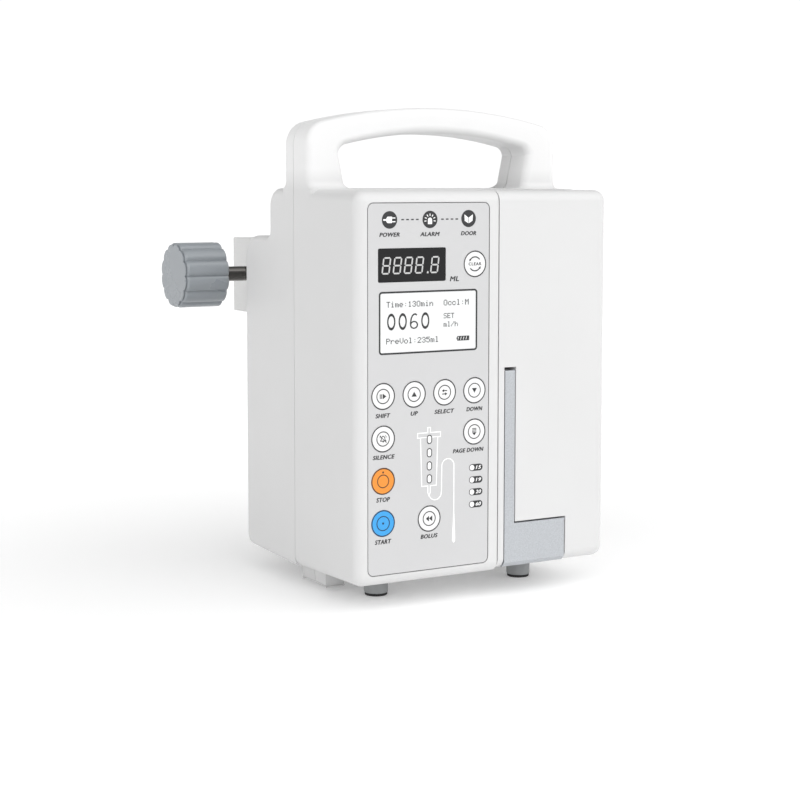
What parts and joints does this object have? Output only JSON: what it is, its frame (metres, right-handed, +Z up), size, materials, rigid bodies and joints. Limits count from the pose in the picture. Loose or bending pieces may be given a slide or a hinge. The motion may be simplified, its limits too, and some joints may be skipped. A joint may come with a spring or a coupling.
{
  "type": "infusion pump",
  "caption": "Upright volumetric infusion pump with a top carrying handle, a keypad and displays beside a hinged pump door with a latch lever, and a pole clamp with a hand knob at the back.",
  "frame": {"origin": "bottom centre of the whole object's box, on the surface that the feet stand on", "axes": "+X to the right seen from the front, +Y to the back, +Z up"},
  "size_m": [0.1464, 0.174, 0.2079],
  "materials": {
    "case": "satin moulded",
    "panel": "satin printed film",
    "key_white": "satin",
    "key_orange": "satin",
    "key_blue": "satin",
    "smoked": "polished, smoked",
    "screen": "polished",
    "lever_silver": "silver paint",
    "knob_grey": "satin moulded",
    "clamp_grey": "powder coated",
    "steel": "machined",
    "dark_plastic": "matt",
    "board": "solder mask",
    "rubber": "matt",
    "aluminium": "satin"
  },
  "bodies": {
    "case": {"front_housing": "case", "rear_housing": "case", "keypad_overlay": "panel", "led_window": "smoked", "led_module": "dark_plastic", "lcd_module": "screen", "front_board": "board", "striker_plate": "steel", "pump_chassis": "aluminium", "bearing_lower": "steel", "bearing_upper": "steel", "stepper_motor": "dark_plastic", "bubble_detector": "dark_plastic", "pressure_sensor": "steel", "main_board": "board", "power_supply": "aluminium", "battery_pack": "clamp_grey", "speaker": "dark_plastic", "mains_inlet": "dark_plastic", "clamp_bracket": "clamp_grey", "case_screw_left_lower": "steel", "case_screw_left_upper": "steel", "case_screw_right_lower": "steel", "case_screw_right_upper": "steel", "foot_front_left": "rubber", "foot_front_right": "rubber", "foot_rear_left": "rubber", "foot_rear_right": "rubber"},
    "door": {"door_shell": "case", "door_inner_plate": "clamp_grey", "hinge_pin_lower": "steel", "hinge_pin_upper": "steel", "lever_pin": "steel"},
    "platen_unit": {"platen": "aluminium", "platen_spring_lower": "steel", "platen_spring_upper": "steel"},
    "lever": {"latch_lever": "lever_silver"},
    "latch": {"latch_bar": "steel"},
    "cam_drive": {"camshaft": "steel", "shaft_coupling": "aluminium", "motor_shaft": "steel"},
    "clamp_jaw": {"clamp_pad": "rubber"},
    "clamp_handwheel": {"clamp_screw": "steel", "clamp_knob": "knob_grey"},
    "shift_button": {"key_shift": "key_white"},
    "up_button": {"key_up": "key_white"},
    "select_button": {"key_select": "key_white"},
    "down_button": {"key_down": "key_white"},
    "silence_button": {"key_silence": "key_white"},
    "page_down_button": {"key_page_down": "key_white"},
    "stop_button": {"key_stop": "key_orange"},
    "start_button": {"key_start": "key_blue"},
    "bolus_button": {"key_bolus": "key_white"},
    "clear_button": {"key_clear": "key_white"},
    "finger_1": {"pump_finger_1": "aluminium"},
    "finger_2": {"pump_finger_2": "aluminium"},
    "finger_3": {"pump_finger_3": "aluminium"},
    "finger_4": {"pump_finger_4": "aluminium"},
    "finger_5": {"pump_finger_5": "aluminium"},
    "finger_6": {"pump_finger_6": "aluminium"}
  },
  "joints": [
    {"name": "door_swing", "type": "hinge", "parent": "case", "child": "door", "pos_m": [0.06745, -0.0703, 0.092], "axis": [0, 0, 1], "range_deg": [0, 110]},
    {"name": "lever_pull", "type": "hinge", "parent": "door", "child": "lever", "pos_m": [0.02205, -0.0835, 0.091], "axis": [-1, 0, 0], "range_deg": [0, 35]},
    {"name": "latch_travel", "type": "slide", "parent": "door", "child": "latch", "axis": [0, 0, -1], "range_m": [0, 0.0058]},
    {"name": "platen_float", "type": "slide", "parent": "door", "child": "platen_unit", "axis": [0, -1, 0], "range_m": [0, 0.0015], "stiffness_N_per_m": 3000},
    {"name": "cam_turn", "type": "hinge", "parent": "case", "child": "cam_drive", "pos_m": [0.04415, -0.045, 0.092], "axis": [0, 0, 1], "continuous": true},
    {"name": "clamp_feed", "type": "slide", "parent": "case", "child": "clamp_jaw", "axis": [1, 0, 0], "range_m": [0, 0.02]},
    {"name": "clamp_turn", "type": "hinge", "parent": "clamp_jaw", "child": "clamp_handwheel", "pos_m": [-0.01085, 0.051, 0.133], "axis": [1, 0, 0], "range_deg": [0, 3600]},
    {"name": "shift_press", "type": "slide", "parent": "case", "child": "shift_button", "axis": [0, 1, 0], "range_m": [0, 0.0006], "stiffness_N_per_m": 2000},
    {"name": "up_press", "type": "slide", "parent": "case", "child": "up_button", "axis": [0, 1, 0], "range_m": [0, 0.0006], "stiffness_N_per_m": 2000},
    {"name": "select_press", "type": "slide", "parent": "case", "child": "select_button", "axis": [0, 1, 0], "range_m": [0, 0.0006], "stiffness_N_per_m": 2000},
    {"name": "down_press", "type": "slide", "parent": "case", "child": "down_button", "axis": [0, 1, 0], "range_m": [0, 0.0006], "stiffness_N_per_m": 2000},
    {"name": "silence_press", "type": "slide", "parent": "case", "child": "silence_button", "axis": [0, 1, 0], "range_m": [0, 0.0006], "stiffness_N_per_m": 2000},
    {"name": "page_down_press", "type": "slide", "parent": "case", "child": "page_down_button", "axis": [0, 1, 0], "range_m": [0, 0.0006], "stiffness_N_per_m": 2000},
    {"name": "stop_press", "type": "slide", "parent": "case", "child": "stop_button", "axis": [0, 1, 0], "range_m": [0, 0.0006], "stiffness_N_per_m": 2000},
    {"name": "start_press", "type": "slide", "parent": "case", "child": "start_button", "axis": [0, 1, 0], "range_m": [0, 0.0006], "stiffness_N_per_m": 2000},
    {"name": "bolus_press", "type": "slide", "parent": "case", "child": "bolus_button", "axis": [0, 1, 0], "range_m": [0, 0.0006], "stiffness_N_per_m": 2000},
    {"name": "clear_press", "type": "slide", "parent": "case", "child": "clear_button", "axis": [0, 1, 0], "range_m": [0, 0.0006], "stiffness_N_per_m": 2000},
    {"name": "finger_1_stroke", "type": "slide", "parent": "case", "child": "finger_1", "axis": [0, -1, 0], "range_m": [-0.00075, 0.00075]},
    {"name": "finger_2_stroke", "type": "slide", "parent": "case", "child": "finger_2", "axis": [0, -1, 0], "range_m": [-0.00075, 0.00075]},
    {"name": "finger_3_stroke", "type": "slide", "parent": "case", "child": "finger_3", "axis": [0, -1, 0], "range_m": [-0.00075, 0.00075]},
    {"name": "finger_4_stroke", "type": "slide", "parent": "case", "child": "finger_4", "axis": [0, -1, 0], "range_m": [-0.00075, 0.00075]},
    {"name": "finger_5_stroke", "type": "slide", "parent": "case", "child": "finger_5", "axis": [0, -1, 0], "range_m": [-0.00075, 0.00075]},
    {"name": "finger_6_stroke", "type": "slide", "parent": "case", "child": "finger_6", "axis": [0, -1, 0], "range_m": [-0.00075, 0.00075]}
  ],
  "couplings": [
    {"joint": "latch_travel", "follows": "lever_pull", "m_per_rad": 0.0094},
    {"joint": "clamp_turn", "follows": "clamp_feed", "rad_per_m": 3141.6}
  ]
}
